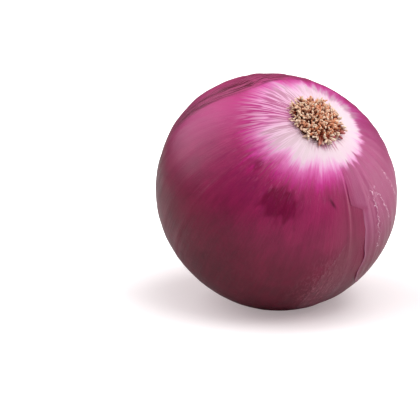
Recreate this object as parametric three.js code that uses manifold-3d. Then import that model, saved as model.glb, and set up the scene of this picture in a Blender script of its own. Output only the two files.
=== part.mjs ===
// A whole red onion, lying with its root end up and to the front and its dried neck down behind.
// Millimetres, +Z up. The origin is the middle of the small flat spot that the bulb rests on.
import * as THREE from "three";
import { mergeVertices } from "three/addons/utils/BufferGeometryUtils.js";
import Module from "manifold-3d";

const wasm = await Module();
wasm.setup();
const { degToRad, lerp, smoothstep } = THREE.MathUtils;

// ---- driving dimensions ----
const bulbRadius = 39.3; // at the equator, under the dry outer skin
const rootRise = 33.3; // equator to root end, along the bulb's own axis
const neckDrop = 38.6; // equator to where the neck begins
const neckRadius = 6.4; // where the bulb passes into the neck
const lean = degToRad(39); // the root end leans this far from upright
const turn = degToRad(35); // from the front, it points this far to the right
const flatDepth = 0.9; // how much the resting side is flattened
const gap = 0.3; // clearance between pieces that touch
const skinThickness = 0.35;
const plateRadius = 7.6;
const plateRise = 1.5; // crown of the corky plate, above the root end
const plateSink = 1.6; // seat of the plate, below the root end
const rootCount = 36;
const rootRadius = 0.85;
const rootLength = 3.1;
const stalkRadius = 2.9; // the neck where it is drawn in
const knobRadius = 3.6; // its shrivelled end

// ---- the bulb's outline and section ----
// Half outline: radius across, height along the axis, from the root end to the neck.
const rootSide = new THREE.CubicBezierCurve(
  new THREE.Vector2(0, rootRise),
  new THREE.Vector2(0.584 * bulbRadius, rootRise),
  new THREE.Vector2(bulbRadius, 0.561 * rootRise),
  new THREE.Vector2(bulbRadius, 0),
);
const neckSide = new THREE.CubicBezierCurve(
  new THREE.Vector2(bulbRadius, 0),
  new THREE.Vector2(bulbRadius, -0.885 * neckDrop),
  new THREE.Vector2(neckRadius, -0.93 * neckDrop),
  new THREE.Vector2(neckRadius, -neckDrop),
);
const outline = new THREE.CurvePath();
outline.add(rootSide);
outline.add(neckSide);

// The section isn't quite round: the radius swells and draws in around the bulb, most of all at
// the equator. Angles run anticlockwise from the bulb's right, seen from the root end, so the
// top is at 90 degrees and the resting side at 270.
function swelling(around, height) {
  const middle = Math.cos((0.5 * Math.PI * height) / (1.15 * neckDrop)) ** 2;
  const oval = 0.003 * Math.cos(2 * around + 1.8);
  const threeSided = 0.003 * Math.cos(3 * around);
  return 1 + middle * (oval + threeSided);
}

function aroundAxis(radius, around, height) {
  const r = radius * swelling(around, height);
  return new THREE.Vector3(r * Math.cos(around), r * Math.sin(around), height);
}

function ring(radius, height, sides) {
  return Array.from({ length: sides }, (_, i) =>
    aroundAxis(radius, (2 * Math.PI * i) / sides, height),
  );
}

// ---- closed surfaces ----
function geometryOf(points, faces) {
  const geometry = new THREE.BufferGeometry().setFromPoints(points);
  geometry.setIndex(faces);
  return geometry;
}

function middleOf(points) {
  return points.reduce((sum, p) => sum.add(p), new THREE.Vector3()).divideScalar(points.length);
}

// Joins rings of equal count into one closed surface, with a fan over each end.
// The rings run anticlockwise as seen from the first end.
function loft(rings) {
  const sides = rings[0].length;
  const points = rings.flat();
  const faces = [];
  for (let k = 0; k + 1 < rings.length; k++) {
    for (let i = 0; i < sides; i++) {
      const a = k * sides + i;
      const b = k * sides + ((i + 1) % sides);
      faces.push(a, a + sides, b, b, a + sides, b + sides);
    }
  }
  const last = (rings.length - 1) * sides;
  const firstCentre = points.push(middleOf(rings[0])) - 1;
  const lastCentre = points.push(middleOf(rings.at(-1))) - 1;
  for (let i = 0; i < sides; i++) {
    const next = (i + 1) % sides;
    faces.push(firstCentre, i, next);
    faces.push(lastCentre, last + next, last + i);
  }
  return geometryOf(points, faces);
}

// Joins an outer and an inner grid of points into a thin closed sheet.
function sheet(outer, inner) {
  const rows = outer.length;
  const columns = outer[0].length;
  const points = [...outer.flat(), ...inner.flat()];
  const back = rows * columns;
  const faces = [];
  const quad = (a, b, c, d) => faces.push(a, b, c, a, c, d);
  for (let j = 0; j + 1 < rows; j++) {
    for (let i = 0; i + 1 < columns; i++) {
      const a = j * columns + i;
      quad(a, a + columns, a + columns + 1, a + 1);
      quad(back + a, back + a + 1, back + a + columns + 1, back + a + columns);
    }
    const left = j * columns;
    const right = left + columns - 1;
    quad(left, back + left, back + left + columns, left + columns);
    quad(right, right + columns, back + right + columns, back + right);
  }
  for (let i = 0; i + 1 < columns; i++) {
    const top = i;
    const bottom = (rows - 1) * columns + i;
    quad(top, top + 1, back + top + 1, back + top);
    quad(bottom, back + bottom, back + bottom + 1, bottom + 1);
  }
  return geometryOf(points, faces);
}

// ---- solids, for joining and cutting ----
function solidOf(geometry) {
  const bare = geometry.clone();
  bare.deleteAttribute("normal");
  bare.deleteAttribute("uv");
  const merged = mergeVertices(bare, 1e-4);
  return new wasm.Manifold(
    new wasm.Mesh({
      numProp: 3,
      vertProperties: merged.attributes.position.array,
      triVerts: new Uint32Array(merged.index.array),
    }),
  );
}

function geometryFrom(solid) {
  const mesh = solid.getMesh();
  const geometry = new THREE.BufferGeometry();
  geometry.setAttribute("position", new THREE.BufferAttribute(mesh.vertProperties, 3));
  geometry.setIndex(new THREE.BufferAttribute(mesh.triVerts, 1));
  return geometry;
}

// ---- the bulb, with a shallow seat for the root plate ----
const seatRadius = plateRadius + gap;
const seatHeight = rootRise - plateSink;
const bulbSides = 48;

function roundBulb() {
  const rootPoints = rootSide.getSpacedPoints(14).filter((p) => p.x > seatRadius + 0.6);
  const neckPoints = neckSide.getSpacedPoints(15).slice(1);
  return loft([
    ring(seatRadius, seatHeight, bulbSides), // floor of the seat
    ring(seatRadius + 0.2, rootRise - 0.45, bulbSides), // lip of the seat
    ...[...rootPoints, ...neckPoints].map((p) => ring(p.x, p.y, bulbSides)),
  ]);
}

// ---- how the bulb lies ----
// The bulb is turned to lie, its lowest side is pared flat, and the middle of the flat spot
// becomes the origin.
const lying = new THREE.Group();
lying.rotation.set(lean, 0, turn, "ZYX");
lying.updateMatrixWorld(true);

function pointsOf(geometry) {
  const position = geometry.getAttribute("position");
  return Array.from({ length: position.count }, (_, i) =>
    new THREE.Vector3().fromBufferAttribute(position, i),
  );
}

function restingBulb() {
  const toBulb = lying.matrixWorld.clone().invert();
  const turned = pointsOf(roundBulb().applyMatrix4(lying.matrixWorld));
  const floor = Math.min(...turned.map((p) => p.z)) + flatDepth;
  const under = new THREE.BoxGeometry(120, 120, 20);
  under.translate(0, 0, floor - 10).applyMatrix4(toBulb);
  const pared = geometryFrom(solidOf(roundBulb()).subtract(solidOf(under)));
  const onFloor = pointsOf(pared.clone().applyMatrix4(lying.matrixWorld)).filter(
    (p) => p.z < floor + 1e-3,
  );
  const spot = new THREE.Box3().setFromPoints(onFloor).getCenter(new THREE.Vector3());
  lying.position.copy(spot).negate();
  return pared;
}

// ---- the dry outer skin ----
// A papery leaf wrapped over the bulb's right, back and top. Its torn upper edge follows the
// pale zone around the roots. Its front edge runs down beside the resting side, and turns away
// before it. Distances run over the bulb from the root end, angles are in degrees.
const skinRows = 18;
const skinColumns = 34;
const skinFront = 274;
const skinBack = 495;
const skinNeckEnd = 92;

function tornEdge(degrees) {
  return 16.5 + 10.5 * smoothstep(degrees, 405, 465) + 6 * smoothstep(degrees, 460, 495);
}

function frontEdge(along) {
  return skinFront + 9 * smoothstep(along, 29, 35) + 22 * smoothstep(along, 58, 74);
}

function skinPoint(down, across, lift) {
  const along = lerp(tornEdge(lerp(skinFront, skinBack, across)), skinNeckEnd, down);
  const around = degToRad(lerp(frontEdge(along), skinBack, across));
  const share = along / outline.getLength();
  const p = outline.getPointAt(share);
  const slope = outline.getTangentAt(share);
  return aroundAxis(p.x - slope.y * lift, around, p.y + slope.x * lift);
}

function skinGrid(lift) {
  return Array.from({ length: skinRows + 1 }, (_, j) =>
    Array.from({ length: skinColumns + 1 }, (_, i) =>
      skinPoint(j / skinRows, i / skinColumns, lift),
    ),
  );
}

function dryOuterSkin() {
  return sheet(skinGrid(gap + skinThickness), skinGrid(gap));
}

// ---- the corky root plate ----
function rootPlate() {
  const crown = new THREE.CubicBezierCurve(
    new THREE.Vector2(0.4, rootRise + plateRise),
    new THREE.Vector2(0.5 * plateRadius, rootRise + plateRise),
    new THREE.Vector2(plateRadius, rootRise + 0.5 * plateRise),
    new THREE.Vector2(plateRadius, rootRise - 0.4),
  );
  const sides = 28;
  return loft([
    ...crown.getSpacedPoints(6).map((p) => ring(p.x, p.y, sides)),
    ring(plateRadius, seatHeight + gap, sides),
  ]);
}

// ---- the root tuft ----
// Dried roots on a thin mat that follows the plate's crown. Each root is turned on from the last
// by the golden angle, which spaces them evenly, and leans out more the further out it grows.
const goldenAngle = Math.PI * (3 - Math.sqrt(5));
const matRadius = plateRadius - 0.3;
const matThickness = 0.9;
const rootTaper = [0.65, 0.95, 1]; // tip, middle, foot
const rootSides = 6;

function matHeight(radius) {
  return rootRise + plateRise + gap - 1.1 * (radius / plateRadius) ** 2.4;
}

function mat() {
  const sides = 20;
  const top = [0.5, 3.4, 6, matRadius].map((r) => ring(r, matHeight(r) + matThickness, sides));
  const under = [matRadius, 5.6, 3, 0.5].map((r) => ring(r, matHeight(r), sides));
  return loft([...top, ...under]);
}

function root(i) {
  const share = Math.sqrt((i + 0.5) / rootCount);
  const around = i * goldenAngle;
  const outward = new THREE.Vector3(Math.cos(around), Math.sin(around), 0);
  const sideways = new THREE.Vector3(-Math.sin(around), Math.cos(around), 0);
  const out = share * (matRadius - 0.2);
  const foot = outward.clone().multiplyScalar(out).setZ(matHeight(out) + 0.3);
  const length = rootLength + 0.7 * Math.sin(5.1 * i) - 0.5 * share;
  const leaning = 0.15 + 0.9 * share ** 2;
  const rings = rootTaper.map((taper, k) => {
    const up = 1 - k / (rootTaper.length - 1);
    const centre = foot
      .clone()
      .addScaledVector(outward, length * up * Math.sin(leaning * up))
      .addScaledVector(sideways, 0.5 * up * Math.sin(3.7 * i))
      .add(new THREE.Vector3(0, 0, length * up * Math.cos(leaning * up)));
    return Array.from({ length: rootSides }, (_, s) => {
      const angle = (2 * Math.PI * s) / rootSides;
      return centre
        .clone()
        .addScaledVector(outward, taper * rootRadius * Math.cos(angle))
        .addScaledVector(sideways, taper * rootRadius * Math.sin(angle));
    });
  });
  return loft(rings);
}

function rootTuft() {
  let tuft = solidOf(mat());
  for (let i = 0; i < rootCount; i++) {
    tuft = tuft.add(solidOf(root(i)));
  }
  return geometryFrom(tuft);
}

// ---- the dried neck ----
// It leaves the bulb along its axis, folds over, trails level behind the bulb just clear of the
// surface below, and ends in a shrivelled knob.
function driedNeck() {
  const line = new THREE.CatmullRomCurve3([
    new THREE.Vector3(0, 0, -neckDrop - gap),
    new THREE.Vector3(0, 0.5, -neckDrop - 2.1),
    new THREE.Vector3(0, 3.4, -neckDrop - 5.2),
    new THREE.Vector3(0, 8.6, -neckDrop - 9.4),
    new THREE.Vector3(1.6, 13.6, -neckDrop - 13.2),
    new THREE.Vector3(3.4, 17.4, -neckDrop - 15.6),
  ]);
  const steps = 14;
  const sides = 16;
  const across = new THREE.Vector3(1, 0, 0);
  const rings = [];
  for (let k = 0; k <= steps; k++) {
    const share = k / steps;
    const ahead = k === 0 ? new THREE.Vector3(0, 0, -1) : line.getTangentAt(share);
    const side = across.clone().addScaledVector(ahead, -across.dot(ahead)).normalize();
    const rise = new THREE.Vector3().crossVectors(side, ahead);
    const waist = lerp(neckRadius - 0.2, stalkRadius, smoothstep(share, 0, 0.45));
    const knob = (knobRadius - stalkRadius) * Math.exp(-(((share - 0.84) / 0.13) ** 2));
    const radius = (waist + knob) * (k === steps ? 0.7 : 1);
    rings.push(
      Array.from({ length: sides }, (_, i) => {
        const angle = (2 * Math.PI * i) / sides;
        return line
          .getPointAt(share)
          .addScaledVector(side, radius * Math.cos(angle))
          .addScaledVector(rise, radius * Math.sin(angle));
      }),
    );
  }
  return loft(rings);
}

// ---- assembly ----
function piece(name, geometry, color, roughness) {
  geometry.computeVertexNormals();
  const material = new THREE.MeshStandardMaterial({ color, roughness, metalness: 0 });
  const mesh = new THREE.Mesh(geometry, material);
  mesh.name = name;
  return mesh;
}

lying.add(
  piece("bulb", restingBulb(), 0x8e2a5c, 0.35),
  piece("dry_outer_skin", dryOuterSkin(), 0xa2587a, 0.45),
  piece("root_plate", rootPlate(), 0x8a5a36, 0.9),
  piece("root_tuft", rootTuft(), 0xc69a6a, 0.85),
  piece("neck", driedNeck(), 0xa83a66, 0.7),
);

const onion = new THREE.Group();
onion.add(lying);

export default onion;
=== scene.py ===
import math

import bpy
import numpy as np
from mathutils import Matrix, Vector


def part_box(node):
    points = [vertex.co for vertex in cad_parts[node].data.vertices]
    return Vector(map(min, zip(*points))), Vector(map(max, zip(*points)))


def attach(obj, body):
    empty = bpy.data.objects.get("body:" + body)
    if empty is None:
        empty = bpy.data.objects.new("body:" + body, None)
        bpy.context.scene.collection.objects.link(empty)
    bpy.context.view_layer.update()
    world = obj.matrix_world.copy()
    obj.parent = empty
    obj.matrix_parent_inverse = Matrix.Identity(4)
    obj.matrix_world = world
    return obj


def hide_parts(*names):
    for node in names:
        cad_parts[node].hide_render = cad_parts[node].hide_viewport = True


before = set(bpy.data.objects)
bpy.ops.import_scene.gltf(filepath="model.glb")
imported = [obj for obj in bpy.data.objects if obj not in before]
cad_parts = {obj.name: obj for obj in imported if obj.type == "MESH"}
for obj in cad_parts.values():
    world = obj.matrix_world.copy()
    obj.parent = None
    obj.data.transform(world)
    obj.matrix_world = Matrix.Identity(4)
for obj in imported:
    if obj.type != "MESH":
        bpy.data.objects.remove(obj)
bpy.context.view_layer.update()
print("frame loaded:", ", ".join(sorted(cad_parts)))

# Shapes are worked out in millimetres and written to the meshes in metres.
# "around" is an angle in radians from the bulb's top, anticlockwise seen from the root end:
# a quarter turn is its left side, a half turn its resting side. "along" is the distance over
# the surface from the root end towards the neck.
millimetre = 0.001
fullTurn = 2.0 * math.pi
curvePoints = 500  # on each of the two curves of the outline


def smooth(value, low, high):  # 0 below low, 1 above high, an S-curve between
    t = np.clip((value - low) / (high - low), 0.0, 1.0)
    return t * t * (3.0 - 2.0 * t)


def span(value, start, full, fading, end):  # rises from start to full, falls from fading to end
    return smooth(value, start, full) * smooth(-value, -end, -fading)


def bump(value, centre, width):  # a bell of height 1
    return np.exp(-(((value - centre) / width) ** 2))


def turnsApart(around, degrees):  # signed angle in degrees from a given direction, -180 to 180
    return (np.degrees(around) - degrees + 180.0) % 360.0 - 180.0


def waves(around, along, seed, count, turns, reach):
    # Sum of cosines, each with a whole number of turns around the bulb, so that it closes,
    # and a slow drift along it. It is about 1 in size.
    rng = np.random.default_rng(seed)
    number = rng.integers(turns[0], turns[1] + 1, count)
    phase = rng.uniform(0.0, fullTurn, count)
    drift = rng.normal(0.0, 1.0, count) / reach
    total = 0.0
    for n, p, d in zip(number, phase, drift):
        total = total + np.cos(n * around + p + d * along)
    return total / math.sqrt(count / 2.0)


def dapple(points, seed, count, size):
    # Sum of cosines of distance along directions drawn at random, about 1 in size.
    rng = np.random.default_rng(seed)
    direction = rng.normal(0.0, 1.0, (count, 3))
    direction /= np.linalg.norm(direction, axis=1, keepdims=True)
    length = size * rng.uniform(0.7, 1.5, count)
    phase = rng.uniform(0.0, fullTurn, count)
    total = 0.0
    for k in range(count):
        total = total + np.cos(points @ direction[k] * (fullTurn / length[k]) + phase[k])
    return total / math.sqrt(count / 2.0)


def cubic(points, count):
    # Points on a cubic curve: the four control points weighted by how far along it they act.
    t = np.linspace(0.0, 1.0, count)[:, None]
    p = np.asarray(points, float)
    return (1 - t) ** 3 * p[0] + 3 * (1 - t) ** 2 * t * p[1] + 3 * (1 - t) * t**2 * p[2] + t**3 * p[3]


form = {
    "radius": 39.3,  # at the equator
    "rootRise": 33.3,  # equator to root end
    "neckDrop": 38.6,  # equator to neck
    "neckRadius": 6.4,
    "lean": 39.0,  # degrees from upright
    "turn": 35.0,  # degrees to the right of the front
    "unevenness": 0.08,
    "ribs": 0.05,
}


def makeOutline():
    # Half outline as two cubic curves, with the distance over the surface and the outward
    # direction at each point.
    r, top, drop, neck = (form[k] for k in ("radius", "rootRise", "neckDrop", "neckRadius"))
    rootSide = cubic([(0, top), (0.584 * r, top), (r, 0.561 * top), (r, 0)], curvePoints)
    neckSide = cubic([(r, 0), (r, -0.885 * drop), (neck, -0.93 * drop), (neck, -drop)], curvePoints)
    line = np.vstack([rootSide, neckSide[1:]])
    steps = np.linalg.norm(np.diff(line, axis=0), axis=1)
    along = np.concatenate([[0.0], np.cumsum(steps)])
    slope = np.gradient(line, along, axis=0)
    slope /= np.linalg.norm(slope, axis=1, keepdims=True)
    return {"along": along, "radius": line[:, 0], "height": line[:, 1], "slope": slope}


outline = makeOutline()
outlineLength = outline["along"][-1]
lean, turn = math.radians(form["lean"]), math.radians(form["turn"])
axis = np.array([math.sin(lean) * math.sin(turn), -math.sin(lean) * math.cos(turn), math.cos(lean)])
upSide = np.array([-math.cos(lean) * math.sin(turn), math.cos(lean) * math.cos(turn), math.sin(lean)])
leftSide = np.cross(axis, upSide)


def relief(around, along):
    # Height of the skin over the plain outline: broad unevenness, faint ribs that run from the
    # roots to the neck, and pleats that gather towards the neck.
    middle = np.cos(0.5 * math.pi * np.interp(along, outline["along"], outline["height"]) / 46.0) ** 2
    broad = form["unevenness"] * waves(around, along, 3, 8, (2, 5), 30.0)
    ribs = form["ribs"] * waves(around, along, 5, 14, (13, 34), 60.0)
    fine = 0.4 * form["ribs"] * waves(around, along, 8, 16, (40, 90), 50.0)
    pleats = smooth(along, 86.0, outlineLength) * 0.7 * waves(around, along, 11, 7, (5, 11), 14.0)
    return middle * (broad + ribs + fine) + pleats


def onBulb(around, along, lift=0.0, rough=True):
    # A point on the bulb: outline radius and height, a slightly oval and three-sided section,
    # and a lift along the outward direction.
    r = np.interp(along, outline["along"], outline["radius"])
    h = np.interp(along, outline["along"], outline["height"])
    slopeR = np.interp(along, outline["along"], outline["slope"][:, 0])
    slopeH = np.interp(along, outline["along"], outline["slope"][:, 1])
    if rough:
        lift = lift + relief(around, along)
    r = r - slopeH * lift
    h = h + slopeR * lift
    middle = np.cos(0.5 * math.pi * h / (1.15 * form["neckDrop"])) ** 2
    theta = around + 0.5 * math.pi
    r = r * (1.0 + middle * 0.003 * (np.cos(2 * theta + 1.8) + np.cos(3 * theta)))
    ring = np.cos(around)[..., None] * upSide + np.sin(around)[..., None] * leftSide
    return centre + r[..., None] * ring + h[..., None] * axis


def fromBulb(x, y, z):
    # A point given by its distances along the bulb's right, top and root directions.
    x, y, z = np.broadcast_arrays(x, y, z)
    return centre - x[..., None] * leftSide + y[..., None] * upSide + z[..., None] * axis


centre = np.zeros(3)
sweepAround, sweepAlong = np.meshgrid(np.linspace(0, fullTurn, 241), np.linspace(0.5, outlineLength, 160))
plain = onBulb(sweepAround, sweepAlong, rough=False).reshape(-1, 3)
bulbLow, bulbHigh = (np.array(corner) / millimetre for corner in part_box("bulb"))
centre = 0.5 * (bulbLow + bulbHigh) - 0.5 * (plain.min(0) + plain.max(0))
centre[2] = bulbHigh[2] - plain[:, 2].max()  # the lowest side is pared flat, so the top places it
print("bulb centre, mm:", np.round(centre, 2))


def meshPiece(name, points, faces, attributes=None):
    # faces are rows of four corner numbers; a row that ends in -1 is a triangle.
    quads = faces[faces[:, 3] >= 0]
    triangles = faces[faces[:, 3] < 0][:, :3]
    corners = np.concatenate([quads.ravel(), triangles.ravel()]).astype(np.int32)
    starts = np.concatenate([np.arange(len(quads)) * 4, 4 * len(quads) + np.arange(len(triangles)) * 3])
    mesh = bpy.data.meshes.new(name)
    mesh.vertices.add(len(points))
    mesh.vertices.foreach_set("co", (points * millimetre).astype(np.float32).ravel())
    mesh.loops.add(len(corners))
    mesh.loops.foreach_set("vertex_index", corners)
    mesh.polygons.add(len(starts))
    mesh.polygons.foreach_set("loop_start", starts.astype(np.int32))
    mesh.update(calc_edges=True)
    for label, values in (attributes or {}).items():
        vector = values.ndim == 2
        data = mesh.attributes.new(label, "FLOAT_VECTOR" if vector else "FLOAT", "POINT").data
        data.foreach_set("vector" if vector else "value", values.astype(np.float32).ravel())
    mesh.shade_smooth()
    piece = bpy.data.objects.new(name, mesh)
    bpy.context.scene.collection.objects.link(piece)
    return piece


def gridFaces(rows, columns, closed, first=0):
    # Quads of a grid of points, joined round if closed. They face out when the rows run away
    # from the root end and the columns run anticlockwise seen from it.
    number = first + np.arange(rows * columns).reshape(rows, columns)
    if closed:
        number = np.concatenate([number, number[:, :1]], axis=1)
    a, b, c, d = number[:-1, :-1], number[1:, :-1], number[1:, 1:], number[:-1, 1:]
    return np.stack([a, b, c, d], -1).reshape(-1, 4)


def capFaces(ring, tip, flip):
    # A fan from a ring of corner numbers to one point.
    following = np.roll(ring, -1)
    first, second = (following, ring) if flip else (ring, following)
    return np.stack([first, second, np.full_like(ring, tip), np.full_like(ring, -1)], -1)


def closedTube(name, grid, attributes):
    # A grid joined round, with a fan over both ends.
    rows, columns = grid.shape[:2]
    points = np.vstack([grid.reshape(-1, 3), grid[0].mean(0), grid[-1].mean(0)])
    ring = np.arange(columns)
    faces = np.vstack([
        gridFaces(rows, columns, True),
        capFaces(ring, rows * columns, False),
        capFaces(ring + (rows - 1) * columns, rows * columns + 1, True),
    ])
    full = {}
    for label, values in attributes.items():
        flat = values.reshape(rows * columns, -1)
        flat = np.vstack([flat, flat[:columns].mean(0), flat[-columns:].mean(0)])
        full[label] = flat if flat.shape[1] == 3 else flat[:, 0]
    return meshPiece(name, points, faces, full)


def closedSheet(name, outer, inner, attributes):
    # Two matching grids joined along their edges into one thin closed body.
    rows, columns = outer.shape[:2]
    count = rows * columns
    number = np.arange(count).reshape(rows, columns)
    rim = np.concatenate([number[:-1, 0], number[-1, :-1], number[:0:-1, -1], number[0, :0:-1]])
    following = np.roll(rim, -1)
    faces = np.vstack([
        gridFaces(rows, columns, False),
        gridFaces(rows, columns, False, count)[:, ::-1],
        np.stack([following, rim, rim + count, following + count], -1),
    ])
    points = np.vstack([outer.reshape(-1, 3), inner.reshape(-1, 3)])
    doubled = {label: np.concatenate([v.reshape(count, -1)] * 2) for label, v in attributes.items()}
    doubled = {label: v if v.shape[1] == 3 else v[:, 0] for label, v in doubled.items()}
    return meshPiece(name, points, faces, doubled)


markings = {
    "paleEdge": 17.0,  # mm from the root end to where the pale zone ends
    # Where it reaches further or less far: mm, degrees around, width in degrees.
    "paleBells": [
        (2.2, 300.0, 38.0), (2.8, 15.0, 34.0), (1.9, 94.0, 20.0), (-6.8, 59.0, 14.0),
        (-1.3, 119.0, 11.0), (-0.8, 230.0, 24.0), (-2.0, 174.0, 26.0),
    ],
    "wineAt": (135.0, 31.4),  # the dark patch: degrees around, mm along
    "wineSize": (12.0, 4.8),
    "secondWineAt": (108.0, 25.4),
    "secondWineSize": (5.0, 2.4),
    "markAt": (170.5, 27.5),
    "paperyAt": (174.0, 61.0),
    # Thin lines on the right: degrees around at a level, degrees gained per mm, the level in mm.
    "thinLines": [(206.3, -0.10, 30.0), (212.5, 0.47, 30.0), (231.3, 0.12, 35.0)],
}


def paleEdge(around):
    # Where the pale zone around the roots ends: a plain distance and a row of bells.
    edge = markings["paleEdge"]
    for outwards, degrees, width in markings["paleBells"]:
        edge = edge + outwards * bump(turnsApart(around, degrees), 0.0, width)
    return edge


def streakReach(around):
    # How many mm the streaks carry the pale zone's edge back and forth.
    left = bump(turnsApart(around, 60.0), 0.0, 50.0)
    right = bump(turnsApart(around, 310.0), 0.0, 45.0)
    return 2.2 + 4.2 * left + 3.6 * right


def outOfPatch(around, along, place, size):
    # Distance from a patch's middle, as a share of its half widths.
    return np.hypot(turnsApart(around, place[0]) / size[0], (along - place[1]) / size[1])


def skinAttributes(around, along, film=0.0):
    # What the skin's material reads at each point.
    ragged = 0.5 * waves(around, along, 21, 14, (20, 80), 1.2)
    outward = outOfPatch(around, along, markings["wineAt"], markings["wineSize"]) * (1.0 + 0.25 * ragged)
    wine = 1.0 - smooth(outward, 0.7, 1.3)
    outward = outOfPatch(around, along, markings["secondWineAt"], markings["secondWineSize"])
    wine = np.maximum(wine, 0.75 - 0.75 * smooth(outward * (1.0 + 0.3 * ragged), 0.3, 1.2))
    mottled = bump(turnsApart(around, 110.0), 0.0, 34.0) * bump(along, 29.0, 8.0)
    collar = smooth(10.8 + 0.9 * waves(around, 0 * along, 31, 8, (40, 75), 1.0) - along, 0.0, 2.0)
    collar = collar * bump(turnsApart(around, 182.0), 0.0, 36.0)
    leftward = bump(turnsApart(around, 46.0), 0.0, 62.0)
    streaky = leftward * (1.0 - smooth(along, 16.0, 28.0)) * 0.85
    purple = bump(turnsApart(around, 60.0), 0.0, 17.0)
    blush = bump(turnsApart(around, 50.0), 0.0, 27.0) * (1.0 - smooth(along, 40.0, 62.0))
    # The creased band: it begins level with the roots and bends down the left side. Its lines
    # follow its lower border, from which the distance across is counted.
    radius = np.interp(along, outline["along"], outline["radius"])
    left = np.clip(turnsApart(around, 0.0), -60.0, 75.0)
    bend = np.maximum(left, 0.0) / 50.0
    steepness = 2.2 * bend**4 * 57.3 / np.maximum(radius, 5.0)
    creaseAcross = (along - 24.0 - 22.0 * bend**5) / np.sqrt(1.0 + steepness**2)
    creases = smooth(creaseAcross, -1.2, 1.6) * (1.0 - smooth(creaseAcross, 7.0, 14.0))
    creases = creases * smooth(left, -40.0, -2.0) * (1.0 - smooth(along, 44.0, 58.0))
    markAround, markAlong = markings["markAt"]
    mark = bump(turnsApart(around, markAround) - 1.3 * (along - markAlong), 0.0, 1.2)
    mark = mark * bump(along, markAlong, 1.5)
    paperyAround, paperyAlong = markings["paperyAt"]
    papery = bump(turnsApart(around, paperyAround), 0.0, 10.0) * bump(along, paperyAlong, 13.0)
    # A papery strip beside the dry outer skin; its border swings away from the resting side.
    before, beyond = np.maximum(58.8 - along, 0.0), np.maximum(along - 58.8, 0.0)
    border = 170.0 + 10.5 * (before / 18.4) ** 2 + 2.5 * (beyond / 13.8) ** 2
    border = border + 0.5 * waves(0.0 * around, along, 79, 7, (1, 1), 4.0)
    fromBorder = turnsApart(around, border)
    strip = span(along, 37.0, 45.0, 74.0, 82.0)
    band = smooth(fromBorder, -0.3, 0.5) * (1.0 - smooth(fromBorder, 7.0, 14.0)) * strip
    # Three thin broken lines on the right and the strip's border, told apart by which is nearest.
    thin = markings["thinLines"]
    lines = [turnsApart(around, at) - slant * (along - level) for at, slant, level in thin]
    lines = np.radians(np.stack([*lines, fromBorder])) * radius
    nearest = np.abs(lines).argmin(0)
    glintAcross = np.take_along_axis(lines, nearest[None], 0)[0]
    firstSpan = span(along, 26.0, 28.5, 45.0, 50.0)
    otherSpan = span(along, 26.0, 29.0, 39.0, 44.0)
    # Where the painted highlights lie along these lines.
    glint = np.choose(nearest, [firstSpan, 0.8 * otherSpan, 0.8 * otherSpan, 0.12 * strip])
    dull = bump(turnsApart(around, 183.0), 0.0, 11.0) * smooth(along, 15.0, 23.0)
    return {
        "meridian": np.stack([np.cos(around), np.sin(around), along / 40.0], -1),
        "along": along,
        "paleDistance": along - paleEdge(around),
        "streakReach": streakReach(around) + 0 * along,
        "wine": wine,
        "mottled": mottled,
        "collar": collar,
        "streaky": streaky,
        "purple": purple + 0 * along,
        "blush": blush,
        "creases": creases,
        "creaseAcross": creaseAcross,
        "mark": mark,
        "papery": papery,
        "band": band,
        "dull": dull,
        "film": film + 0 * along,
        "filmTone": smooth(np.degrees(around) % 360.0, 238.0, 275.0) + 0 * along,
        "glint": glint,
        "glintAcross": glintAcross,
    }


bulb = {
    "columns": 400,
    "rows": 236,
    "seatRadius": 7.3,  # the root plate sits here
    "seatAside": (0.51, -0.37),  # mm towards the top and towards the left: the roots grow off the middle
    "seatDepth": 0.6,
}


def makeBulb():
    # Rows are closer together at the root end, where the markings are finest.
    share = np.linspace(0.0, 1.0, bulb["rows"])
    along = 2.0 + (outlineLength - 2.0) * (0.72 * share + 0.28 * share**2)
    around, along = np.meshgrid(np.arange(bulb["columns"]) * fullTurn / bulb["columns"], along)
    aside = bulb["seatAside"]
    fromSeat = np.hypot(along * np.cos(around) - aside[0], along * np.sin(around) - aside[1])
    edge = bulb["seatRadius"]
    seat = -bulb["seatDepth"] * (1.0 - smooth(fromSeat, edge - 1.0, edge + 0.6))
    # A raised vein beside the dry skin's front edge, with a groove along it.
    ridge = 0.22 * bump(turnsApart(around, 181.8), 0.0, 1.1) * span(along, 18, 22, 34, 56)
    ridge = ridge - 0.16 * bump(turnsApart(around, 184.3), 0.0, 0.9) * span(along, 20, 24, 36, 50)
    points = onBulb(around, along, seat + ridge)
    points[..., 2] = np.maximum(points[..., 2], 0.0)  # pared flat where it rests
    return closedTube("bulb_skin", points, skinAttributes(around, along))


drySkin = {
    "columns": 320,
    "rows": 160,
    "front": 185.0,  # degrees, the front edge
    "back": 405.0,
    "neckEnd": 92.0,  # mm
    "thickness": 0.11,
    # The raised thin lines: mm high, share of wiggle, mm along where each rises and fades.
    "lines": [
        (0.17, 1.0, (26, 29, 42, 47)), (0.12, 0.0, (23, 25, 35, 40)), (0.12, 0.0, (28, 31, 39, 44)),
    ],
}


def skinTornEdge(degrees):
    # The torn upper edge keeps to the pale zone's edge, then falls away over the top.
    edge = 15.7 + 10.8 * smooth(degrees, 315.0, 375.0) + 6.0 * smooth(degrees, 370.0, 405.0)
    around = np.radians(degrees)
    teeth = 0.6 * waves(around, 0.0, 41, 12, (12, 46), 1.0)
    teeth = teeth + 0.22 * waves(around, 0.0, 43, 14, (50, 130), 1.0)
    big = smooth(degrees, 320.0, 350.0) * 1.2 * waves(around, 0.0, 47, 8, (8, 40), 1.0)
    return edge + teeth + big


def skinFrontEdge(along):
    # Down beside the resting side, one step aside, then away from the resting side.
    step = 8.5 * np.clip((along - 28.7) / 2.4, 0.0, 1.0)
    edge = drySkin["front"] + step + 24.0 * smooth(along, 56.0, 76.0)
    return edge + 0.35 * waves(along / 9.0, 0.0, 51, 8, (2, 12), 1.0)


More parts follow.
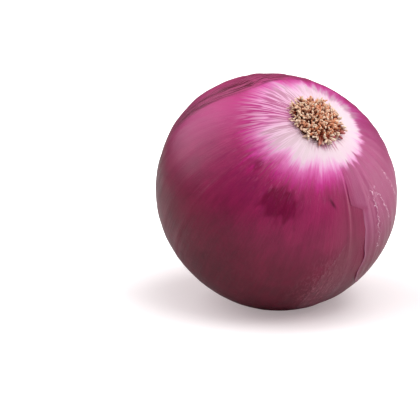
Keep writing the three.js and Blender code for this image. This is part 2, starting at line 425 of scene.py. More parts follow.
def makeDrySkin():
    # Two grids between the leaf's torn, front, back and neck edges, both laid on the bulb: the
    # outer one lifted by the leaf's thickness, its curled edge, creases and crumples.
    across, down = np.meshgrid(np.linspace(0, 1, drySkin["columns"]), np.linspace(0, 1, drySkin["rows"]))
    across = across - 0.06 * np.sin(2 * math.pi * across)  # columns crowd at both ends
    nominal = drySkin["front"] + (drySkin["back"] - drySkin["front"]) * across
    top = skinTornEdge(nominal)
    neckEnd = drySkin["neckEnd"] + 1.6 * waves(np.radians(nominal), 0.0, 53, 9, (3, 22), 1.0)
    along = top + (neckEnd - top) * down**1.15
    frontEdge = skinFrontEdge(along)
    backEdge = drySkin["back"] + 1.2 * waves(along / 9.0, 0.0, 57, 8, (1, 5), 1.0)
    degrees = frontEdge + (backEdge - frontEdge) * across
    around = np.radians(degrees)
    radius = np.interp(along, outline["along"], outline["radius"])
    fromFront = np.radians(degrees - frontEdge) * radius
    fromBack = np.radians(backEdge - degrees) * radius
    fromTop = along - top
    wavy = 0.7 + 0.3 * waves(along / 9.0, 0.0, 61, 6, (1, 7), 1.0)
    curl = 0.3 * np.exp(-fromFront / 0.7) * wavy * span(along, 36, 50, 56, 66)
    wiggle = waves(along / 9.0, 0.0, 67, 10, (4, 30), 1.0)
    lines = 0.15 * bump(degrees, 205.5, 1.0) * span(along, 40, 46, 58, 72)
    for (at, slant, level), (lift, wiggly, reach) in zip(markings["thinLines"], drySkin["lines"]):
        middle = at + slant * (along - level) + wiggly * wiggle
        lines = lines + lift * bump(degrees, middle, 0.8) * span(along, *reach)
    crumple = 0.05 * waves(around, along, 71, 14, (16, 50), 9.0)
    flush = smooth(fromTop, 0.0, 2.2) * smooth(fromBack, 0.0, 2.2)  # these edges lie close
    flush = flush * np.maximum(smooth(fromFront, 0.0, 3.0), smooth(along, 29.0, 34.0))
    raised = (curl + lines + np.maximum(crumple, -0.04)) * flush
    body = 0.02 + (drySkin["thickness"] - 0.02) * flush
    outer = onBulb(around, along, raised + body)
    inner = onBulb(around, along, raised - 0.06 * flush - 0.04)
    outer[..., 2] = np.maximum(outer[..., 2], 0.25)
    inner[..., 2] = np.maximum(inner[..., 2], 0.1)
    film = 0.92 - 0.4 * smooth(degrees, 262.0, 300.0) - 0.3 * smooth(degrees, 300.0, 350.0)
    film = film * (1.0 - 0.5 * smooth(along, 42.0, 62.0))
    film = film * (0.45 + 0.55 * np.maximum(smooth(fromFront, 0.0, 3.5), smooth(along, 31.0, 33.0)))
    film = film * smooth(fromTop, -0.3, 2.0)
    attributes = skinAttributes(around, along, film)
    # On the near side the pale edge follows the torn edge of the leaf.
    own = 1.0 - smooth(degrees, 245.0, 285.0)
    follow = -3.0 + 9.0 * smooth(fromTop, -0.6, 3.6)
    pale = attributes["paleDistance"]
    attributes["paleDistance"] = pale * (1.0 - own) + np.maximum(pale, follow) * own
    attributes["streakReach"] = attributes["streakReach"] * (1.0 - 0.45 * own)
    attributes["dull"] = 0.8 * bump(turnsApart(around, 184.0), 0.0, 11.0) * smooth(fromTop, 0.0, 5.0)
    otherRim = np.minimum(fromBack, np.minimum(fromTop, neckEnd - along))
    # Painted highlight: a light pink line along the leaf's front edge, fainter along its other edges,
    # painted into the colour by the material.
    attributes["rim"] = np.exp(-fromFront / 0.45) * smooth(along, 31, 36) + 0.15 * np.exp(-otherRim / 0.6)
    return closedSheet("dry_outer_skin_leaf", outer, inner, attributes)


plate = {
    "radius": 7.4,
    "rise": 1.4,
    "skirt": 1.6,
    "domeShare": 0.85,  # of the rows, the rest are skirt
    "knobbliness": 0.22,
    "rows": 60,
    "columns": 160,
}


def makeRootPlate():
    # A low dome with a rough corky surface and a short skirt down into its seat.
    columns = np.arange(plate["columns"]) * fullTurn / plate["columns"]
    share, around = np.meshgrid(np.linspace(0.02, 1.0, plate["rows"]), columns, indexing="ij")
    dome = plate["domeShare"]
    bend = 0.5 * math.pi * np.minimum(share / dome, 1.0)
    r = plate["radius"] * np.sin(bend)
    h = plate["rise"] * np.cos(bend) - plate["skirt"] * smooth(share, dome, 1.0)
    aside = bulb["seatAside"]
    points = fromBulb(-r * np.sin(around) - aside[1], r * np.cos(around) + aside[0], form["rootRise"] + h)
    rough = plate["knobbliness"] * dapple(points, 81, 24, 1.3) * smooth(-share, -0.95, -0.8)
    points = points + rough[..., None] * axis
    return closedTube("root_plate_cork", points, {"depth": share})


roots = {
    "count": 380,
    "rimCount": 150,
    "footRadius": 6.1,
    "thickness": (0.25, 0.43),
    "length": (1.5, 2.9),
    "rimLean": (0.8, 1.4),  # radians from the axis
    "sides": 6,
    "steps": 7,
}


def makeRoots():
    # Every root is a path of equal steps whose direction leans out and curls on the way, with a
    # ring of points carried along it. All roots are worked out together.
    rng = np.random.default_rng(17)
    count = roots["count"] + roots["rimCount"]
    rim = np.arange(count) >= roots["count"]
    spreadTo = roots["footRadius"]
    share = np.sqrt((np.arange(count) + 0.5) / roots["count"])
    foot = spreadTo * np.minimum(share, 1.0) + rng.normal(0, 0.16, count)
    foot = np.abs(np.where(rim, spreadTo + rng.uniform(-0.4, 0.8, count), foot))
    golden = math.pi * (3.0 - math.sqrt(5.0))
    around = np.arange(count) * golden + rng.normal(0, 0.12, count)
    around = np.where(rim, rng.uniform(0, fullTurn, count), around)
    low = bump(turnsApart(around, 190.0), 0.0, 75.0)  # the side towards the ground
    high = bump(turnsApart(around, 15.0), 0.0, 45.0)
    foot = foot * (1.0 + 0.2 * high)
    flat = rim * bump(turnsApart(around, 50.0), 0.0, 35.0)  # a few splayed flat to the left
    length = rng.uniform(*roots["length"], count)
    length = length * np.where(rim, 1.0 + 0.5 * low, 1.0 - 0.2 * foot / spreadTo)
    length = length * (1.0 - 0.05 * flat + 0.3 * high)
    leanOut = 0.12 + 0.75 * (foot / spreadTo) ** 2 + rng.normal(0, 0.24, count)
    leanOut = np.where(rim, rng.uniform(*roots["rimLean"], count) + 0.2 * low + 0.3 * flat, leanOut)
    curl = rng.normal(0.04, 0.16, count)
    sway = rng.normal(0.0, 0.5, count)
    swirl = rng.normal(0.0, 0.15, count)
    thick = rng.uniform(*roots["thickness"], count) * np.where(rim, 1.0 + 0.25 * low - 0.35 * flat, 1.0)

    steps = roots["steps"]
    stage = np.arange(steps)
    tilt = leanOut[:, None] + curl[:, None] * stage
    swing = sway[:, None] + swirl[:, None] * stage
    out = np.stack([np.cos(around), np.sin(around)], -1)
    side = np.stack([-np.sin(around), np.cos(around)], -1)
    level = np.sin(tilt)[..., None] * (
        np.cos(swing)[..., None] * out[:, None] + np.sin(swing)[..., None] * side[:, None]
    )
    heading = np.concatenate([level, np.cos(tilt)[..., None]], -1)
    step = (length / (steps - 1))[:, None, None]
    path = np.zeros((count, steps, 3))
    path[:, 0, :2] = foot[:, None] * out + bulb["seatAside"]
    path[:, 0, 2] = form["rootRise"] + plate["rise"] * np.sqrt(np.maximum(1 - (foot / 8.2) ** 2, 0)) - 0.5
    path[:, 1:] = path[:, :1] + np.cumsum(heading[:, :-1] * step, axis=1)
    reach = np.hypot(path[..., 0], path[..., 1])
    ground = np.interp(reach, outline["radius"][:curvePoints], outline["height"][:curvePoints]) + 0.25
    path[..., 2] = np.where(reach > 6.9, np.maximum(path[..., 2], ground), path[..., 2])

    ahead = np.gradient(path, axis=1)
    ahead /= np.linalg.norm(ahead, axis=2, keepdims=True)
    helper = np.broadcast_to(np.array([0.31, 0.17, 0.05]), ahead.shape)
    first = np.cross(ahead, helper)
    first /= np.linalg.norm(first, axis=2, keepdims=True)
    second = np.cross(ahead, first)
    taper = np.array([1.15, 1.05, 1.0, 0.97, 0.95, 0.85, 0.45])
    kinks = 1.0 + 0.12 * rng.normal(0.0, 1.0, (count, steps))
    radius = thick[:, None] * taper * kinks
    angle = np.arange(roots["sides"]) * fullTurn / roots["sides"]
    ringPoints = path[:, :, None] + radius[:, :, None, None] * (
        np.cos(angle)[:, None] * first[:, :, None] + np.sin(angle)[:, None] * second[:, :, None]
    )
    sides = roots["sides"]
    tips = path[:, -1:] + ahead[:, -1:] * 0.15 * thick[:, None, None]
    points = np.concatenate([ringPoints.reshape(count, -1, 3), tips, path[:, :1]], 1)
    one = np.vstack([
        gridFaces(steps, sides, True)[:, ::-1],
        capFaces(np.arange(sides) + (steps - 1) * sides, steps * sides, False),
        capFaces(np.arange(sides), steps * sides + 1, True),
    ])
    perRoot = steps * sides + 2
    offset = (np.arange(count) * perRoot)[:, None, None]
    faces = np.where(one[None] >= 0, one[None] + offset, -1).reshape(-1, 4)
    world = fromBulb(-points[..., 1], points[..., 0], points[..., 2])
    grow = np.repeat(stage / (steps - 1.0), sides)
    grow = np.concatenate([grow, [1.0, 0.0]])
    shade = rng.uniform(0, 1, count) ** 1.3 * np.where(rim, 0.6, 0.85)
    shade = shade + rim * (0.15 + 0.3 * low + 0.3 * flat)
    creamy = np.maximum(flat, 0.7 * bump(turnsApart(around, 55.0), 0.0, 38.0) * smooth(foot, 3.6, 5.4))
    stained = (rng.uniform(0, 1, count) < 0.6) * rim * (foot > spreadTo + 0.2)
    stained = stained * bump(turnsApart(around, 196.0), 0.0, 34.0)
    attributes = {
        "grow": np.tile(grow, count),
        "shade": np.repeat(shade * (1.0 - stained), perRoot),
        "creamy": np.repeat(creamy, perRoot),
        "stained": np.repeat(stained, perRoot),
    }
    return meshPiece("dried_roots", world.reshape(-1, 3), faces, attributes)


neck = {
    # Its middle line: mm to the right, towards the top and down from the bulb's middle.
    "line": [
        (0, 0, 37.2), (0, 0, 38.9), (0, 0.5, 40.7), (0, 3.4, 43.8),
        (0, 8.6, 48.0), (1.6, 13.6, 51.8), (3.4, 17.4, 54.2),
    ],
    "rows": 170,
    "columns": 180,
    "root": 6.7,  # radius where it leaves the bulb
    "stalk": 2.9,
    "knob": 3.6,
    "twist": 2.4,
    "pleats": 9,
}


def spline(points, count):
    # A smooth line through the points: each stretch is a cubic with slopes from its neighbours.
    p = np.asarray(points, float)
    p = np.vstack([2 * p[0] - p[1], p, 2 * p[-1] - p[-2]])
    place = np.linspace(0, len(p) - 3 - 1e-9, count)
    k = place.astype(int)
    t = (place - k)[:, None]
    a, b, c, d = p[k], p[k + 1], p[k + 2], p[k + 3]
    second, third = 2 * a - 5 * b + 4 * c - d, 3 * b - a - 3 * c + d
    return 0.5 * (2 * b + (c - a) * t + second * t**2 + third * t**3)


def makeNeck():
    # A pleated, twisted ring carried along the line, thinning to a stalk and closing in a knob.
    line = spline(neck["line"], 400)
    steps = np.concatenate([[0], np.cumsum(np.linalg.norm(np.diff(line, axis=0), axis=1))])
    share = np.linspace(0, 1, neck["rows"])
    line = np.stack([np.interp(share * steps[-1], steps, line[:, k]) for k in range(3)], -1)
    line[:, 2] *= -1
    ahead = np.gradient(line, axis=0)
    ahead /= np.linalg.norm(ahead, axis=1, keepdims=True)
    across = np.array([1.0, 0, 0]) - ahead * ahead[:, :1]
    across /= np.linalg.norm(across, axis=1, keepdims=True)
    rise = np.cross(across, ahead)
    around, down = np.meshgrid(np.arange(neck["columns"]) * fullTurn / neck["columns"], share)
    waist = neck["root"] + (neck["stalk"] - neck["root"]) * smooth(down, 0.02, 0.48)
    knob = (neck["knob"] - neck["stalk"]) * bump(down, 0.87, 0.1)
    closing = np.sqrt(np.clip((1.0 - down) / 0.05, 0.0, 1.0))
    twisted = around + neck["twist"] * down
    pleats = np.abs(np.sin(0.5 * neck["pleats"] * twisted + 0.6 * np.sin(3 * around))) - 0.6
    pleats = pleats * 0.16 + 0.05 * waves(twisted, 30.0 * down, 91, 10, (12, 30), 6.0)
    lumps = 0.07 * waves(around, 30.0 * down, 93, 8, (1, 4), 3.0)
    radius = (waist + knob) * (1.0 + smooth(down, 0.0, 0.25) * pleats + smooth(down, 0.2, 0.5) * lumps)
    radius = radius * (0.25 + 0.75 * closing)
    local = line[:, None] + radius[..., None] * (
        np.cos(around)[..., None] * across[:, None] + np.sin(around)[..., None] * rise[:, None]
    )
    points = fromBulb(local[..., 0], local[..., 1], local[..., 2])
    points[..., 2] = np.maximum(points[..., 2], 0.3)
    attributes = {"twist": np.stack([np.cos(twisted), np.sin(twisted), down * 1.0], -1), "down": down}
    return closedTube("dried_neck", points[:, ::-1], attributes)



def wire(tree, value, socket):  # links an output, or sets a plain value
    if isinstance(value, bpy.types.NodeSocket):
        tree.links.new(value, socket)
    elif value is not None:
        socket.default_value = value


def sums(tree, operation, a, b=None, c=None, clamp=False):
    # One step of arithmetic on masks or plain numbers.
    node = tree.nodes.new("ShaderNodeMath")
    node.operation = operation
    node.use_clamp = clamp
    for value, socket in zip((a, b, c), node.inputs):
        wire(tree, value, socket)
    return node.outputs[0]


def times(tree, a, b, clamp=False):  # a x b
    return sums(tree, "MULTIPLY", a, b, None, clamp)


def timesPlus(tree, a, b, c, clamp=False):  # a x b + c
    return sums(tree, "MULTIPLY_ADD", a, b, c, clamp)


def blendColours(tree, share, first, second, mode="MIX"):
    # The first colour where the share is 0, the second where it is 1.
    node = tree.nodes.new("ShaderNodeMix")
    node.data_type = "RGBA"
    node.blend_type = mode
    wire(tree, share, node.inputs[0])
    wire(tree, first, node.inputs[6])
    wire(tree, second, node.inputs[7])
    return node.outputs[2]


def tint(tree, share, colour, over):  # a colour with another over it, given in painter's numbers
    return blendColours(tree, share, colour, paint(over))


def spread(tree, value, low, high, toLow=0.0, toHigh=1.0, kind="SMOOTHSTEP"):
    # Carries low to high over to toLow to toHigh, and stops at both ends.
    node = tree.nodes.new("ShaderNodeMapRange")
    node.interpolation_type = kind
    for v, socket in zip((value, low, high, toLow, toHigh), node.inputs):
        wire(tree, v, socket)
    return node.outputs[0]


def attribute(tree, name, vector=False):
    node = tree.nodes.new("ShaderNodeAttribute")
    node.attribute_name = name
    return node.outputs["Vector" if vector else "Fac"]


def stretch(tree, vector, scale):
    node = tree.nodes.new("ShaderNodeVectorMath")
    node.operation = "MULTIPLY"
    wire(tree, vector, node.inputs[0])
    wire(tree, scale, node.inputs[1])
    return node.outputs[0]


def noise(tree, vector, scale, detail=2.0, roughness=0.5, distortion=0.0):
    node = tree.nodes.new("ShaderNodeTexNoise")
    wire(tree, vector, node.inputs["Vector"])
    wire(tree, scale, node.inputs["Scale"])
    wire(tree, detail, node.inputs["Detail"])
    wire(tree, roughness, node.inputs["Roughness"])
    wire(tree, distortion, node.inputs["Distortion"])
    return node.outputs["Fac"]


def ramp(tree, value, stops):
    node = tree.nodes.new("ShaderNodeValToRGB")
    elements = node.color_ramp.elements
    for k, (place, colour) in enumerate(stops):
        element = elements[k] if k < 2 else elements.new(place)
        element.position = place
        element.color = paint(colour)
    wire(tree, value, node.inputs[0])
    return node.outputs["Color"]


def paint(colour):  # red, green and blue as a painter's 0 to 255, to the renderer's linear values
    c = np.array(colour[:3]) / 255.0
    linear = np.where(c <= 0.04045, c / 12.92, ((c + 0.055) / 1.055) ** 2.4)
    return (*linear.tolist(), 1.0)


def newGroup(name, inputs, outputs):
    tree = bpy.data.node_groups.new(name, "ShaderNodeTree")
    for label, kind, value in inputs:
        socket = tree.interface.new_socket(label, in_out="INPUT", socket_type=kind)
        if value is not None:
            socket.default_value = value
    for label, kind in outputs:
        tree.interface.new_socket(label, in_out="OUTPUT", socket_type=kind)
    return tree, tree.nodes.new("NodeGroupInput").outputs, tree.nodes.new("NodeGroupOutput").inputs


def useGroup(tree, group, **values):
    node = tree.nodes.new("ShaderNodeGroup")
    node.node_tree = group
    for label, value in values.items():
        wire(tree, value, node.inputs[label])
    return node.outputs


def newMaterial(name, **values):
    material = bpy.data.materials.new(name)
    material.use_nodes = True
    tree = material.node_tree
    shader = tree.nodes["Principled BSDF"]
    for label, value in values.items():
        shader.inputs[label].default_value = value
    return material, tree, shader


def height(tree, value, distance, strength):
    # A surface normal tipped by a height, distance in metres.
    node = tree.nodes.new("ShaderNodeBump")
    node.inputs["Strength"].default_value = strength
    node.inputs["Distance"].default_value = distance
    wire(tree, value, node.inputs["Height"])
    return node.outputs["Normal"]


floatIn, vectorIn, colourIn = "NodeSocketFloat", "NodeSocketVector", "NodeSocketColor"


def makeStreaksGroup():
    # Long streaks that run from the roots to the neck: noise stretched along the bulb, in three
    # widths. The vector holds the direction around the bulb and the distance along it.
    tree, given, result = newGroup(
        "meridianStreaks",
        [("Vector", vectorIn, None), ("Around", floatIn, 20.0), ("Along", floatIn, 5.0)],
        [("Broad", floatIn), ("Middle", floatIn), ("Fine", floatIn)],
    )
    widths = (("Broad", 0.35, 0.5, 2.0), ("Middle", 1.0, 1.0, 2.0), ("Fine", 2.2, 1.5, 1.0))
    for label, factor, lengthen, detail in widths:
        wide = times(tree, given["Around"], factor)
        long = times(tree, given["Along"], lengthen)
        combine = tree.nodes.new("ShaderNodeCombineXYZ")
        wire(tree, wide, combine.inputs[0])
        wire(tree, wide, combine.inputs[1])
        wire(tree, long, combine.inputs[2])
        field = noise(tree, stretch(tree, given["Vector"], combine.outputs[0]), 1.0, detail, 0.55)
        wire(tree, spread(tree, field, 0.28, 0.72, kind="LINEAR"), result[label])
    return tree


skinInputs = {  # what the skin's group reads, each from the attribute of the same name
    "Along": 0.0, "Pale Distance": 0.0, "Streak Reach": 2.0, "Wine": 0.0, "Mottled": 0.0,
    "Collar": 0.0, "Streaky": 0.0, "Purple": 0.0, "Blush": 0.0, "Creases": 0.0,
    "Crease Across": 0.0, "Mark": 0.0, "Papery": 0.0, "Band": 0.0, "Dull": 0.0, "Film": 0.0,
    "Film Tone": 0.0, "Glint": 0.0, "Glint Across": 9.0,
}


def makeSkinGroup(streaks):
    # The colour of onion skin. Around the roots it is cream, then pink, magenta and wine; the
    # streaks carry these zones out and in. Further along it darkens towards maroon. Over this lie
    # the pale lines of the left side, a film of dry skin, creases, a dark patch and small marks,
    # and painted highlights: bright strokes on scratches and glints on thin lines.
    tree, given, result = newGroup(
        "onionSkin",
        [("Meridian", vectorIn, None)] + [(label, floatIn, value) for label, value in skinInputs.items()],
        [("Color", colourIn), ("Lines", floatIn)],
    )
    lines = useGroup(tree, streaks, Vector=given["Meridian"], Around=15.0, Along=3.6)
    swing = 0.0
    for label, amount in (("Middle", 0.7), ("Fine", 0.9), ("Broad", 1.2)):
        swing = timesPlus(tree, sums(tree, "SUBTRACT", lines[label], 0.5), amount, swing)
    carried = times(tree, swing, given["Streak Reach"])
    distance = sums(tree, "SUBTRACT", given["Pale Distance"], carried)
    ring = ramp(tree, spread(tree, distance, -6.0, 14.0, kind="LINEAR"), [
        (0.0, (235, 212, 220)), (1.0, (160, 28, 90)), (0.2, (236, 206, 221)), (0.31, (236, 166, 212)),
        (0.43, (222, 88, 172)), (0.57, (202, 28, 136)), (0.76, (176, 12, 102)),
    ])
    body = ramp(tree, spread(tree, given["Along"], 28.0, 78.0, kind="LINEAR"), [
        (0.0, (168, 34, 96)), (1.0, (112, 28, 50)), (0.24, (158, 30, 84)), (0.46, (134, 12, 60)),
        (0.7, (112, 9, 45)),
    ])
    veined = spread(tree, lines["Broad"], 0.1, 0.9, 0.91, 1.07, "LINEAR")
    veined = times(tree, veined, spread(tree, lines["Fine"], 0.0, 1.0, 0.94, 1.05, "LINEAR"))
    patches = noise(tree, stretch(tree, given["Meridian"], (4.0, 4.0, 3.4)), 1.0, 4.0, 0.6, 0.6)
    veined = times(tree, veined, spread(tree, patches, 0.34, 0.62, 0.86, 1.05))
    veins = noise(tree, stretch(tree, given["Meridian"], (120.0, 120.0, 5.0)), 1.0, 2.0, 0.6)
    veined = times(tree, veined, spread(tree, veins, 0.3, 0.7, 0.92, 1.07, "LINEAR"))
    grey = tree.nodes.new("ShaderNodeCombineColor")
    for socket in grey.inputs[:3]:
        wire(tree, veined, socket)
    body = blendColours(tree, 1.0, body, grey.outputs[0], "MULTIPLY")
    colour = blendColours(tree, spread(tree, distance, 6.0, 13.0), ring, body)
    colour = tint(tree, times(tree, given["Blush"], 0.6), colour, (210, 76, 148))
    threads = timesPlus(tree, lines["Fine"], 0.6, times(tree, lines["Middle"], 0.4))
    threads = timesPlus(tree, given["Purple"], 0.05, threads)
    threads = spread(tree, threads, 0.41, 0.61)
    pinks = blendColours(tree, threads, paint((238, 184, 220)), paint((168, 34, 116)))
    colour = blendColours(tree, times(tree, given["Streaky"], 0.9, clamp=True), colour, pinks)
    colour = tint(tree, times(tree, given["Dull"], 0.55), colour, (132, 56, 80))
    filmed = spread(tree, lines["Middle"], 0.0, 1.0, 0.85, 1.05, "LINEAR")
    filmed = times(tree, given["Film"], filmed, clamp=True)
    filmColour = blendColours(tree, given["Film Tone"], paint((168, 80, 121)), paint((150, 52, 104)))
    filmColour = tint(tree, spread(tree, given["Along"], 32.0, 56.0), filmColour, (136, 60, 82))
    colour = blendColours(tree, filmed, colour, filmColour)
    streaked = spread(tree, lines["Fine"], 0.2, 0.8, 0.8, 1.15, "LINEAR")
    wine = times(tree, given["Wine"], streaked, clamp=True)
    colour = tint(tree, wine, colour, (126, 0, 60))
    mottles = noise(tree, stretch(tree, given["Meridian"], (26.0, 26.0, 8.0)), 1.0, 3.0, 0.65, 0.8)
    mottles = times(tree, spread(tree, mottles, 0.46, 0.6), given["Mottled"])
    colour = tint(tree, times(tree, mottles, 0.55), colour, (142, 8, 84))
    # Creases: noise drawn out along the band, so that its dark lines run the band's way.
    combine = tree.nodes.new("ShaderNodeCombineXYZ")
    wire(tree, times(tree, given["Crease Across"], 1.5), combine.inputs[0])
    drawn = tree.nodes.new("ShaderNodeVectorMath")
    drawn.operation = "MULTIPLY_ADD"
    wire(tree, given["Meridian"], drawn.inputs[0])
    drawn.inputs[1].default_value = (3.2, 3.2, 1.5)
    wire(tree, combine.outputs[0], drawn.inputs[2])
    folds = noise(tree, drawn.outputs[0], 1.0, 4.0, 0.62, 0.25)
    folds = times(tree, spread(tree, folds, 0.47, 0.55), given["Creases"], clamp=True)
    colour = tint(tree, times(tree, given["Creases"], 0.75), colour, (172, 70, 114))
    colour = tint(tree, folds, colour, (100, 4, 46))
    banded = times(tree, given["Band"], spread(tree, lines["Fine"], 0.2, 0.8, 0.35, 0.75, "LINEAR"))
    colour = tint(tree, banded, colour, (140, 64, 84))
    flecks = noise(tree, stretch(tree, given["Meridian"], (60.0, 60.0, 24.0)), 1.0, 3.0, 0.65)
    cracks = times(tree, spread(tree, flecks, 0.42, 0.34), given["Papery"])
    flecks = times(tree, spread(tree, flecks, 0.5, 0.62), given["Papery"])
    colour = tint(tree, times(tree, flecks, 0.6), colour, (186, 104, 122))
    colour = tint(tree, times(tree, cracks, 0.6), colour, (62, 10, 26))
    collar = timesPlus(tree, lines["Fine"], 0.15, times(tree, lines["Middle"], 0.85))
    collar = times(tree, given["Collar"], spread(tree, collar, 0.4, 0.6))
    colour = tint(tree, times(tree, collar, 0.8), colour, (186, 72, 132))
    # Painted highlights: bright strokes on fine scratches. The scratches are the skin's own; the light
    # they catch is painted into the colour.
    scratchGlints = noise(tree, stretch(tree, given["Meridian"], (58.0, 58.0, 13.0)), 1.0, 2.0, 0.6, 0.4)
    scratchGlints = times(tree, spread(tree, scratchGlints, 0.54, 0.7), spread(tree, given["Along"], 36.0, 20.0))
    scratchGlints = times(tree, scratchGlints, spread(tree, given["Mottled"], 0.0, 1.0, 0.05, 0.17, "LINEAR"))
    colour = tint(tree, scratchGlints, colour, (240, 176, 214))
    # Painted glints: short bright pieces of a thin wandering line, painted highlights in the colour.
    wander = noise(tree, stretch(tree, given["Meridian"], (14.0, 14.0, 40.0)), 1.0, 3.0, 0.7)
    wander = timesPlus(tree, sums(tree, "SUBTRACT", wander, 0.5), 4.0, given["Glint Across"])
    thin = spread(tree, sums(tree, "ABSOLUTE", wander), 0.3, 0.06)
    broken = noise(tree, stretch(tree, given["Meridian"], (22.0, 22.0, 26.0)), 1.0, 2.0, 0.6)
    glints = times(tree, times(tree, thin, spread(tree, broken, 0.42, 0.58, 0.2, 1.0)), given["Glint"])
    colour = tint(tree, times(tree, glints, 0.85), colour, (250, 206, 226))
    colour = tint(tree, given["Mark"], colour, (84, 6, 42))
    wire(tree, colour, result["Color"])
    wire(tree, folds, result["Lines"])
    return tree


def makeCellsGroup():
    # The tiny lengthwise cells of dry skin, as a height.
    tree, given, result = newGroup("skinCells", [("Meridian", vectorIn, None)], [("Height", floatIn)])
    cells = noise(tree, stretch(tree, given["Meridian"], (170.0, 170.0, 60.0)), 1.0, 2.0, 0.6)
    ribs = noise(tree, stretch(tree, given["Meridian"], (58.0, 58.0, 3.0)), 1.0, 1.0, 0.5)
    wire(tree, timesPlus(tree, ribs, 1.4, cells), result["Height"])
    return tree


def makeFibreGroup():
    # Mottled dry plant fibre: a light and a dark tone broken up by noise of two sizes.
    tree, given, result = newGroup(
        "dryFibre",
        [
            ("Vector", vectorIn, None), ("Scale", floatIn, 900.0), ("Dark", colourIn, None),
            ("Light", colourIn, None), ("Lift", floatIn, 0.0),
        ],
        [("Color", colourIn), ("Height", floatIn)],
    )
    fine = noise(tree, given["Vector"], given["Scale"], 3.0, 0.6)
    coarse = noise(tree, given["Vector"], times(tree, given["Scale"], 0.25), 2.0, 0.5)
    share = sums(tree, "ADD", timesPlus(tree, coarse, 0.6, times(tree, fine, 0.6)), given["Lift"])
    share = spread(tree, share, 0.42, 0.82)
    wire(tree, blendColours(tree, share, given["Dark"], given["Light"]), result["Color"])
    wire(tree, fine, result["Height"])
    return tree


def objectPlace(tree):
    return tree.nodes.new("ShaderNodeTexCoord").outputs["Object"]


def skinMaterial(name, skin, cells, rimHighlight, roughness):
    material, tree, shader = newMaterial(name, Roughness=roughness, IOR=1.41)
    names = {label: label[0].lower() + label[1:].replace(" ", "") for label in skinInputs}
    values = {label: attribute(tree, name) for label, name in names.items()}
    look = useGroup(tree, skin, Meridian=attribute(tree, "meridian", True), **values)
    colour = look["Color"]
    # Painted highlight along the leaf's edges, read from the rim attribute and scaled by this amount.
    if rimHighlight:
        colour = tint(tree, times(tree, attribute(tree, "rim"), rimHighlight), colour, (206, 128, 162))
    wire(tree, colour, shader.inputs["Base Color"])
    patchy = noise(tree, objectPlace(tree), 90.0, 3.0, 0.6)
    gloss = spread(tree, patchy, 0.3, 0.7, roughness - 0.05, roughness + 0.07, "LINEAR")
    wire(tree, gloss, shader.inputs["Roughness"])
    grain = useGroup(tree, cells, Meridian=attribute(tree, "meridian", True))["Height"]
    grain = timesPlus(tree, look["Lines"], -3.0, grain)
    wire(tree, height(tree, grain, 0.00007, 0.6), shader.inputs["Normal"])
    return material


def rootMaterial(fibre):
    material, tree, shader = newMaterial("driedRoot", Roughness=0.5)
    look = useGroup(
        tree, fibre, Vector=objectPlace(tree),
        Scale=1100.0, Dark=paint((228, 146, 104)), Light=paint((255, 228, 202)),
        Lift=spread(tree, attribute(tree, "shade"), 0.0, 1.0, -0.2, 0.42, "LINEAR"),
    )
    colour = tint(tree, times(tree, attribute(tree, "creamy"), 0.8), look["Color"], (255, 222, 190))
    colour = tint(tree, attribute(tree, "stained"), colour, (176, 60, 96))
    # Darker towards each root's foot: painted shade in the gaps between the roots.
    tip = spread(tree, attribute(tree, "grow"), 0.35, 0.85)
    colour = blendColours(tree, tip, paint((132, 40, 8)), colour)
    wire(tree, colour, shader.inputs["Base Color"])
    wire(tree, height(tree, look["Height"], 0.0002, 0.7), shader.inputs["Normal"])
    return material


def plateMaterial(fibre):
    material, tree, shader = newMaterial("cork", Roughness=0.9)
    look = useGroup(
        tree, fibre, Vector=objectPlace(tree),
        Scale=1300.0, Dark=paint((54, 20, 8)), Light=paint((122, 62, 32)), Lift=0.0,
    )
    wire(tree, look["Color"], shader.inputs["Base Color"])
    wire(tree, height(tree, look["Height"], 0.0004, 0.8), shader.inputs["Normal"])
    return material


def neckMaterial(streaks, fibre):
    material, tree, shader = newMaterial("driedNeck", Roughness=0.6)
    twist = attribute(tree, "twist", True)
    lines = useGroup(tree, streaks, Vector=twist, Around=7.0, Along=3.0)
    look = useGroup(
        tree, fibre, Vector=objectPlace(tree),
        Scale=700.0, Dark=paint((116, 30, 54)), Light=paint((200, 104, 112)),
        Lift=spread(tree, lines["Middle"], 0.0, 1.0, -0.2, 0.2, "LINEAR"),
    )
    knob = spread(tree, attribute(tree, "down"), 0.78, 0.95)
    colour = tint(tree, times(tree, knob, 0.5), look["Color"], (170, 104, 84))
    wire(tree, colour, shader.inputs["Base Color"])
    both = timesPlus(tree, lines["Fine"], 1.5, look["Height"])
    wire(tree, height(tree, both, 0.0003, 0.8), shader.inputs["Normal"])
    return material



def finishPiece(piece, material, slot, *nodes):
    piece.data.materials.append(material)
    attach(piece, "root")
    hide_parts(*nodes)
    print(piece.name, "made,", len(piece.data.polygons), "faces")


streaks = makeStreaksGroup()
skin = makeSkinGroup(streaks)
cells = makeCellsGroup()
fibre = makeFibreGroup()
finishPiece(makeBulb(), skinMaterial("bulbSkin", skin, cells, 0.0, 0.38), "bulb_skin", "bulb")
finishPiece(makeDrySkin(), skinMaterial("drySkin", skin, cells, 0.7, 0.40), "dry_skin", "dry_outer_skin")
finishPiece(makeRootPlate(), plateMaterial(fibre), "root_plate", "root_plate")
finishPiece(makeRoots(), rootMaterial(fibre), "roots", "root_tuft")
finishPiece(makeNeck(), neckMaterial(streaks, fibre), "dried_neck", "neck")

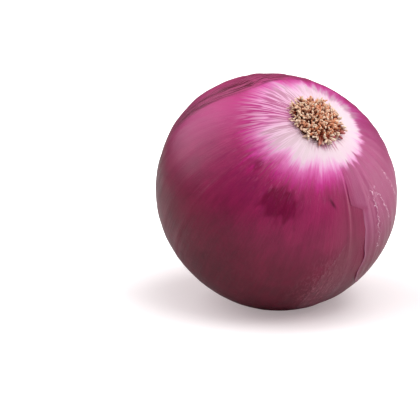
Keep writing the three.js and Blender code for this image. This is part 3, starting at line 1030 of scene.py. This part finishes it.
studio = {
    "distance": 0.640,  # camera to bulb centre, metres
    "elevation": 15.0,  # degrees
    "lens": 168.91,
    "aside": 0.0219,  # how far right of the view's middle the bulb's centre stands, metres
    "above": 0.0072,
    # Soft boxes: degrees to the right of the front, degrees up, width, height, brightness.
    "boxes": {
        "left": (-104.0, 38.0, 0.72, 0.62, 1.8),
        "right": (107.0, 14.0, 0.40, 0.44, 2.2),
        "top": (60.0, 72.0, 0.60, 0.50, 2.0),
        "front": (52.0, 46.0, 0.40, 0.32, 3.6),
        "crown": (116.0, 56.0, 0.34, 0.32, 3.0),
    },
    "boxDistance": 0.62,
    "ambient": 0.07,
    "floorBounce": 0.66,  # what the onion gets back from the floor
    "floorSeen": (0.72, 0.71, 0.71, 1.0),
    "floorHalf": 4000.0,  # mm
    # The floor's glow, seen only by the camera, is weaker and pinker beside the onion: a painted shadow
    # with a painted pink bounce.
    "paintedShadowGlow": 0.3,  # beside the onion, 1 further off
    "paintedShadowTint": (1.0, 0.78, 0.82, 1.0),
    "shadowAt": (0.016, 0.014, 0.0),  # metres
    "shadowReach": (0.02, 0.12),
}


def makeFloor():
    # Seen directly it is near white and melts into the background; the light it returns to the
    # onion is that of a greyer floor.
    points = np.array([(-1, -1, 0), (1, -1, 0), (1, 1, 0), (-1, 1, 0)], float) * studio["floorHalf"]
    floor = meshPiece("floor", points, np.array([[0, 1, 2, 3]]))
    material, tree, shader = newMaterial("paleFloor", Roughness=0.9)
    shader.inputs["Specular IOR Level"].default_value = 0.0
    length = tree.nodes.new("ShaderNodeVectorMath")
    length.operation = "DISTANCE"
    wire(tree, stretch(tree, objectPlace(tree), (1.0, 1.3, 1.0)), length.inputs[0])
    length.inputs[1].default_value = studio["shadowAt"]
    # Painted shadow: near shadowAt the camera-only glow drops and turns pink, over the real shadow that
    # the lamps cast.
    far = spread(tree, length.outputs["Value"], *studio["shadowReach"], studio["paintedShadowGlow"], 1.0)
    seen = tree.nodes.new("ShaderNodeLightPath").outputs["Is Camera Ray"]
    bounce = (studio["floorBounce"],) * 3 + (1.0,)
    wire(tree, blendColours(tree, seen, bounce, studio["floorSeen"]), shader.inputs["Base Color"])
    glow = blendColours(tree, far, studio["paintedShadowTint"], (1.0, 1.0, 1.0, 1.0))
    wire(tree, glow, shader.inputs["Emission Color"])
    wire(tree, times(tree, far, seen), shader.inputs["Emission Strength"])
    floor.data.materials.append(material)


def softBox(name, turned, raised, width, tall, brightness):
    # An area light on a sphere round the bulb, facing it. Power is brightness times pi times area.
    light = bpy.data.lights.new(name, "AREA")
    light.shape = "RECTANGLE"
    light.size = width
    light.size_y = tall
    light.energy = brightness * math.pi * width * tall
    box = bpy.data.objects.new(name, light)
    a, e = math.radians(turned), math.radians(raised)
    away = Vector((math.sin(a) * math.cos(e), -math.cos(a) * math.cos(e), math.sin(e)))
    box.location = Vector(centre * millimetre) + away * studio["boxDistance"]
    box.rotation_euler = away.to_track_quat("Z", "Y").to_euler()
    bpy.context.scene.collection.objects.link(box)


def makeStudio():
    target = Vector(centre * millimetre)
    for name, values in studio["boxes"].items():
        softBox(name + "Box", *values)
    world = bpy.data.worlds.new("studio")
    world.use_nodes = True
    tree = world.node_tree
    seen = tree.nodes.new("ShaderNodeLightPath").outputs["Is Camera Ray"]
    strength = timesPlus(tree, seen, 1.0 - studio["ambient"], studio["ambient"])
    tree.nodes["Background"].inputs["Color"].default_value = (1, 1, 1, 1)
    wire(tree, strength, tree.nodes["Background"].inputs["Strength"])
    bpy.context.scene.world = world
    bpy.context.scene.view_settings.view_transform = "Standard"

    camera = bpy.data.objects.new("camera", bpy.data.cameras.new("camera"))
    bpy.context.scene.collection.objects.link(camera)
    angle = math.radians(studio["elevation"])
    back = Vector((0, -math.cos(angle), math.sin(angle)))
    right = Vector((1, 0, 0))
    up = right.cross(-back)
    camera.location = target + back * studio["distance"]
    aim = target - right * studio["aside"] - up * studio["above"]
    camera.rotation_mode = "QUATERNION"
    camera.rotation_quaternion = (aim - camera.location).to_track_quat("-Z", "Y")
    camera.data.lens = studio["lens"]
    camera.data.sensor_width = 36.0
    camera.data.clip_start = 0.01
    bpy.context.scene.camera = camera


makeFloor()
makeStudio()
print("floor, lights and camera set")
